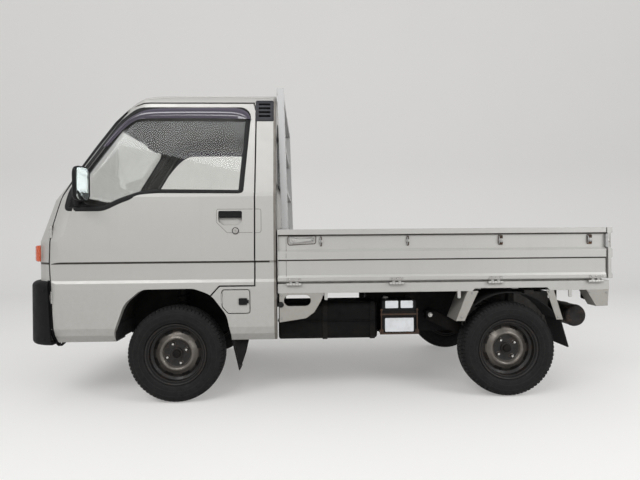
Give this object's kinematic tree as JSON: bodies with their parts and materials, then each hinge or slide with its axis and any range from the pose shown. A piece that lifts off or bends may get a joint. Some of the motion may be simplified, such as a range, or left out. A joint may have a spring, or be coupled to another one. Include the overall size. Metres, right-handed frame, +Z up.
{
  "type": "kei truck",
  "caption": "Small cab-over truck with a drop-side flat bed, hinged doors and gates, steered front wheels and turning road wheels.",
  "frame": {"origin": "centre of the truck's footprint, on the ground under the tyres", "axes": "+X towards the tailgate, +Y towards the right-hand side, +Z up; the truck faces -X"},
  "size_m": [3.295, 1.644, 1.776],
  "materials": {
    "body_paint": "metallic silver paint",
    "guard_paint": "light grey paint",
    "window_glass": "clear",
    "visor_tint": "smoked",
    "black_plastic": "grained",
    "interior_plastic": "grained",
    "seat_cloth": "woven",
    "lamp_glass": "ribbed clear",
    "orange_lens": "ribbed",
    "red_lens": "ribbed",
    "chassis_paint": "satin black",
    "wheel_paint": "satin black",
    "tyre_rubber": "matte",
    "battery_case": "satin",
    "engine_metal": "cast",
    "exhaust_steel": "dull",
    "mud_rubber": "matte"
  },
  "bodies": {
    "root": {"cab_shell": "body_paint", "cab_glass": "window_glass", "cab_vents": "black_plastic", "wheel_houses": "chassis_paint", "front_bumper": "black_plastic", "headlamps": "lamp_glass", "indicators": "orange_lens", "wipers": "black_plastic", "dashboard": "interior_plastic", "seats": "seat_cloth", "interior_mirror": "interior_plastic", "bed": "body_paint", "guard_frame": "guard_paint", "bed_brackets": "body_paint", "chassis_frame": "chassis_paint", "battery": "battery_case", "fuel_tank": "chassis_paint", "engine": "engine_metal", "muffler": "exhaust_steel", "front_suspension": "chassis_paint", "rear_suspension": "chassis_paint", "mud_guards": "mud_rubber", "rear_lamps": "red_lens"},
    "door_left": {"door_left": "body_paint", "door_glass_left": "window_glass", "door_visor_left": "visor_tint", "door_handle_left": "black_plastic", "door_mirror_left": "black_plastic"},
    "door_right": {"door_right": "body_paint", "door_glass_right": "window_glass", "door_visor_right": "visor_tint", "door_handle_right": "black_plastic", "door_mirror_right": "black_plastic"},
    "gate_left": {"gate_left": "body_paint"},
    "gate_right": {"gate_right": "body_paint"},
    "tailgate": {"tailgate": "body_paint"},
    "filler_lid": {"filler_lid": "body_paint"},
    "knuckle_left": {"knuckle_left": "chassis_paint"},
    "knuckle_right": {"knuckle_right": "chassis_paint"},
    "steering_wheel": {"steering_wheel": "black_plastic"},
    "wheel_front_left": {"tyre_front_left": "tyre_rubber", "rim_front_left": "wheel_paint"},
    "wheel_rear_left": {"tyre_rear_left": "tyre_rubber", "rim_rear_left": "wheel_paint"},
    "wheel_front_right": {"tyre_front_right": "tyre_rubber", "rim_front_right": "wheel_paint"},
    "wheel_rear_right": {"tyre_rear_right": "tyre_rubber", "rim_rear_right": "wheel_paint"}
  },
  "joints": [
    {"name": "door_left_hinge", "type": "hinge", "parent": "root", "child": "door_left", "pos_m": [-1.4885, -0.682, 0.78], "axis": [0, 0, -1], "range_deg": [0, 70]},
    {"name": "door_right_hinge", "type": "hinge", "parent": "root", "child": "door_right", "pos_m": [-1.4885, 0.682, 0.78], "axis": [0, 0, 1], "range_deg": [0, 70]},
    {"name": "gate_left_hinge", "type": "hinge", "parent": "root", "child": "gate_left", "pos_m": [0.6745, -0.6945, 0.657], "axis": [1, 0, 0], "range_deg": [0, 180]},
    {"name": "gate_right_hinge", "type": "hinge", "parent": "root", "child": "gate_right", "pos_m": [0.6745, 0.6945, 0.657], "axis": [-1, 0, 0], "range_deg": [0, 180]},
    {"name": "tailgate_hinge", "type": "hinge", "parent": "root", "child": "tailgate", "pos_m": [1.6395, 0, 0.657], "axis": [0, 1, 0], "range_deg": [0, 180]},
    {"name": "filler_lid_hinge", "type": "hinge", "parent": "root", "child": "filler_lid", "pos_m": [-0.56, -0.691, 0.584], "axis": [0, 0, -1], "range_deg": [0, 80]},
    {"name": "steer_left", "type": "hinge", "parent": "root", "child": "knuckle_left", "pos_m": [-0.8255, -0.56, 0.27], "axis": [0, 0, 1], "range_deg": [-33, 33]},
    {"name": "steer_right", "type": "hinge", "parent": "root", "child": "knuckle_right", "pos_m": [-0.8255, 0.56, 0.27], "axis": [0, 0, 1], "range_deg": [-34, 34]},
    {"name": "steering_wheel_turn", "type": "hinge", "parent": "root", "child": "steering_wheel", "pos_m": [-1.1555, 0.335, 1.085], "axis": [0.6428, 0, 0.766], "range_deg": [-600, 600]},
    {"name": "wheel_front_left_spin", "type": "hinge", "parent": "knuckle_left", "child": "wheel_front_left", "pos_m": [-0.8255, -0.6025, 0.27], "axis": [0, 1, 0], "continuous": true},
    {"name": "wheel_rear_left_spin", "type": "hinge", "parent": "root", "child": "wheel_rear_left", "pos_m": [1.0595, -0.6025, 0.27], "axis": [0, 1, 0], "continuous": true},
    {"name": "wheel_front_right_spin", "type": "hinge", "parent": "knuckle_right", "child": "wheel_front_right", "pos_m": [-0.8255, 0.6025, 0.27], "axis": [0, 1, 0], "continuous": true},
    {"name": "wheel_rear_right_spin", "type": "hinge", "parent": "root", "child": "wheel_rear_right", "pos_m": [1.0595, 0.6025, 0.27], "axis": [0, 1, 0], "continuous": true}
  ],
  "couplings": [
    {"joint": "steer_right", "follows": "steer_left", "ratio": 1},
    {"joint": "steering_wheel_turn", "follows": "steer_left", "ratio": 18}
  ]
}
